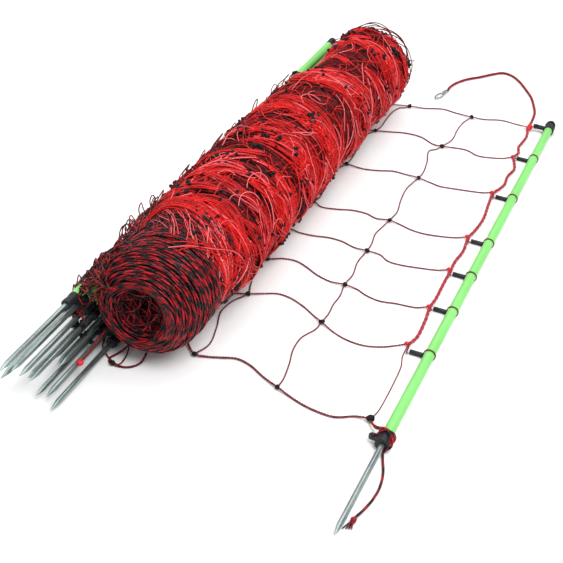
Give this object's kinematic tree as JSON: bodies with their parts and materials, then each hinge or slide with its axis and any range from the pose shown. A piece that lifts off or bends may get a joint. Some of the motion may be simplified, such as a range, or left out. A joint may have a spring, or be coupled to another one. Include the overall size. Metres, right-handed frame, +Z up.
{
  "type": "electric sheep netting",
  "caption": "Rolled electric sheep netting with a bundle of spiked posts beside it and the last panel laid flat to its end post, with lead rope and tie rope.",
  "frame": {"origin": "middle of the underside of the bounding box, measured without the ropes and the loose loop; on the floor", "axes": "+Y runs along the posts from spike to cap, +X runs from the roll towards the end post, +Z is up"},
  "size_m": [0.4511, 1.2698, 0.1601],
  "materials": {
    "green_plastic": "smooth light green plastic tube",
    "black_plastic": "moulded black plastic",
    "galvanised_steel": "galvanised steel rod",
    "bright_steel": "bright zinc-plated wire",
    "clip_wire": "brown coated wire with a black sleeve",
    "red_twine": "red twisted polyethylene twine with fine bright conductor wires",
    "dark_twine": "dark red and black twisted polyethylene twine"
  },
  "bodies": {
    "root": {"bundle_post_01": "green_plastic", "bundle_foot_01": "black_plastic", "bundle_spike_01": "galvanised_steel", "bundle_post_02": "green_plastic", "bundle_foot_02": "black_plastic", "bundle_spike_02": "galvanised_steel", "bundle_post_03": "green_plastic", "bundle_foot_03": "black_plastic", "bundle_spike_03": "galvanised_steel", "bundle_post_04": "green_plastic", "bundle_foot_04": "black_plastic", "bundle_spike_04": "galvanised_steel", "bundle_post_05": "green_plastic", "bundle_foot_05": "black_plastic", "bundle_spike_05": "galvanised_steel", "bundle_post_06": "green_plastic", "bundle_foot_06": "black_plastic", "bundle_spike_06": "galvanised_steel", "bundle_post_07": "green_plastic", "bundle_foot_07": "black_plastic", "bundle_spike_07": "galvanised_steel", "bundle_post_08": "green_plastic", "bundle_foot_08": "black_plastic", "bundle_spike_08": "galvanised_steel", "bundle_post_09": "green_plastic", "bundle_foot_09": "black_plastic", "bundle_spike_09": "galvanised_steel", "bundle_post_10": "green_plastic", "bundle_foot_10": "black_plastic", "bundle_spike_10": "galvanised_steel", "bundle_post_11": "green_plastic", "bundle_foot_11": "black_plastic", "bundle_spike_11": "galvanised_steel", "bundle_post_12": "green_plastic", "bundle_foot_12": "black_plastic", "bundle_spike_12": "galvanised_steel", "bundle_post_13": "green_plastic", "bundle_foot_13": "black_plastic", "bundle_spike_13": "galvanised_steel", "end_post_tube": "green_plastic", "end_post_spike": "galvanised_steel", "end_post_foot": "black_plastic", "end_post_cap": "black_plastic", "clip_1": "clip_wire", "clip_2": "clip_wire", "clip_3": "clip_wire", "clip_4": "clip_wire", "clip_5": "clip_wire", "clip_6": "clip_wire", "net_roll": "red_twine", "net_panel": "dark_twine", "lead_rope": "red_twine", "lead_connector": "bright_steel", "tie_rope": "dark_twine", "tie_knot": "red_twine", "bundle_tie": "red_twine", "bundle_tie_knot": "red_twine", "net_loop": "dark_twine"}
  },
  "joints": []
}
